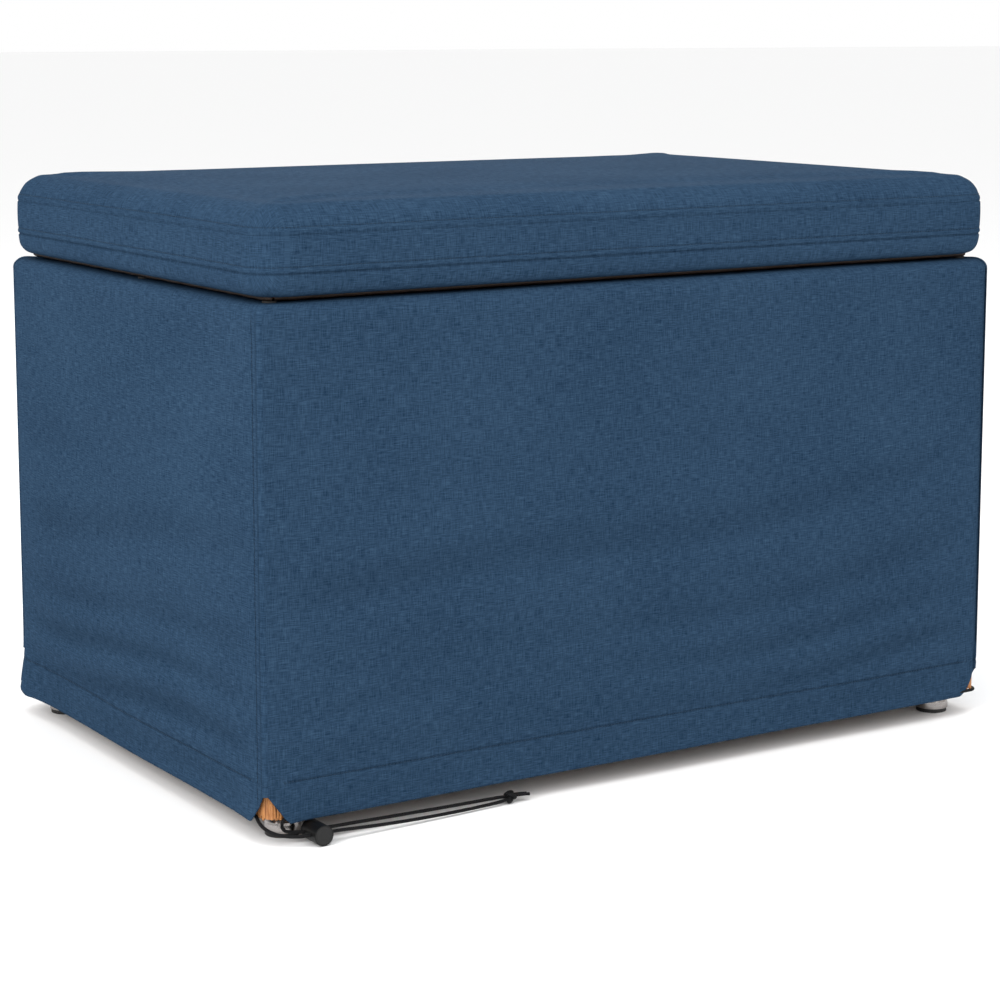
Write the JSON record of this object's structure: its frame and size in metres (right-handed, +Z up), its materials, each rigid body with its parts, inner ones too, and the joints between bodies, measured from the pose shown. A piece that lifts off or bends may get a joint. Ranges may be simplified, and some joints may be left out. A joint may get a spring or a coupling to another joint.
{
  "type": "storage bench",
  "caption": "Box seat with a lift-up padded lid on gas struts, a woven body under a fitted cloth slipcover with a drawcord hem, and low metal feet.",
  "frame": {"origin": "centre of the footprint, on the floor", "axes": "+X along the width to the right, +Y from the front to the hinged back, +Z up"},
  "size_m": [0.8, 0.5482, 0.535],
  "materials": {
    "frame_paint": "satin brown powder coat",
    "board": "plain board",
    "rattan": "woven synthetic cane",
    "lining": "plain woven lining",
    "cover_cloth": "slubbed woven polyester",
    "cushion_cloth": "slubbed woven polyester",
    "cord": "braided polyester cord",
    "lock_plastic": "moulded nylon",
    "plunger_plastic": "moulded nylon",
    "spring_steel": "spring steel",
    "pad_rubber": "moulded rubber",
    "foot_chrome": "polished",
    "zinc": "zinc plated",
    "hinge_steel": "zinc plated",
    "strut_paint": "black paint",
    "rod_chrome": "ground and plated",
    "hook_loop": "hook and loop tape",
    "foam": "open cell foam",
    "zip_nylon": "nylon coil zip",
    "zip_slider_metal": "painted zinc"
  },
  "bodies": {
    "box": {"bottom_frame": "frame_paint", "cross_rails": "frame_paint", "corner_posts": "frame_paint", "wall_uprights": "frame_paint", "top_frame": "frame_paint", "corner_gussets": "frame_paint", "floor_board": "board", "front_weave": "rattan", "back_weave": "rattan", "left_weave": "rattan", "right_weave": "rattan", "corner_wraps": "rattan", "rim_weave": "rattan", "lining": "lining", "front_cover": "cover_cloth", "back_cover": "cover_cloth", "left_cover": "cover_cloth", "right_cover": "cover_cloth", "drawcord": "cord", "left_cord_end": "cord", "front_cord_end": "cord", "cord_knot": "cord", "cord_lock_barrel": "lock_plastic", "cord_lock_spring": "spring_steel", "foot_pads": "pad_rubber", "foot_cups": "foot_chrome", "foot_stems": "zinc", "foot_nuts": "zinc", "lid_bumpers": "pad_rubber", "hinge_base_leaves": "hinge_steel", "hinge_pins": "hinge_steel", "hinge_base_screws": "zinc", "strut_base_brackets": "strut_paint", "strut_bracket_screws": "zinc"},
    "lid": {"lid_frame": "frame_paint", "lid_rails": "frame_paint", "lid_weave": "rattan", "hook_strips": "hook_loop", "loop_strips": "hook_loop", "cushion_foam": "foam", "cushion_bottom": "cushion_cloth", "cushion_side_band": "cushion_cloth", "cushion_top": "cushion_cloth", "zip_tape": "zip_nylon", "zip_coil": "zip_nylon", "hinge_lid_leaves": "hinge_steel", "hinge_lid_screws": "zinc", "strut_lid_brackets": "strut_paint"},
    "zip_slider": {"zip_slider": "zip_slider_metal"},
    "cord_lock_plunger": {"cord_lock_plunger": "plunger_plastic"},
    "left_strut_cylinder": {"left_strut_tube": "strut_paint"},
    "left_strut_piston": {"left_strut_rod": "rod_chrome"},
    "right_strut_cylinder": {"right_strut_tube": "strut_paint"},
    "right_strut_piston": {"right_strut_rod": "rod_chrome"}
  },
  "joints": [
    {"name": "lid_hinge", "type": "hinge", "parent": "box", "child": "lid", "pos_m": [0, 0.261, 0.4572], "axis": [-1, 0, 0], "range_deg": [0, 80]},
    {"name": "left_strut_swing", "type": "hinge", "parent": "box", "child": "left_strut_cylinder", "pos_m": [-0.354, 0.12, 0.2172], "axis": [1, 0, 0], "range_deg": [-0.7337, 0]},
    {"name": "left_strut_slide", "type": "slide", "parent": "left_strut_cylinder", "child": "left_strut_piston", "axis": [0, 0.3667, 0.9303], "range_m": [0, 0.06931]},
    {"name": "right_strut_swing", "type": "hinge", "parent": "box", "child": "right_strut_cylinder", "pos_m": [0.354, 0.12, 0.2172], "axis": [1, 0, 0], "range_deg": [-0.7337, 0]},
    {"name": "right_strut_slide", "type": "slide", "parent": "right_strut_cylinder", "child": "right_strut_piston", "axis": [0, 0.3667, 0.9303], "range_m": [0, 0.06931]},
    {"name": "zip_slide", "type": "slide", "parent": "lid", "child": "zip_slider", "axis": [-1, 0, 0], "range_m": [0, 0.6]},
    {"name": "lock_press", "type": "slide", "parent": "box", "child": "cord_lock_plunger", "axis": [0, 1, 0], "range_m": [0, 0.0028], "stiffness_N_per_m": 700, "springref_m": -0.002}
  ],
  "couplings": [
    {"joint": "left_strut_swing", "follows": "lid_hinge", "ratio": -0.0089214},
    {"joint": "left_strut_slide", "follows": "lid_hinge", "m_per_rad": 0.04957},
    {"joint": "right_strut_swing", "follows": "lid_hinge", "ratio": -0.0089214},
    {"joint": "right_strut_slide", "follows": "lid_hinge", "m_per_rad": 0.04957}
  ]
}
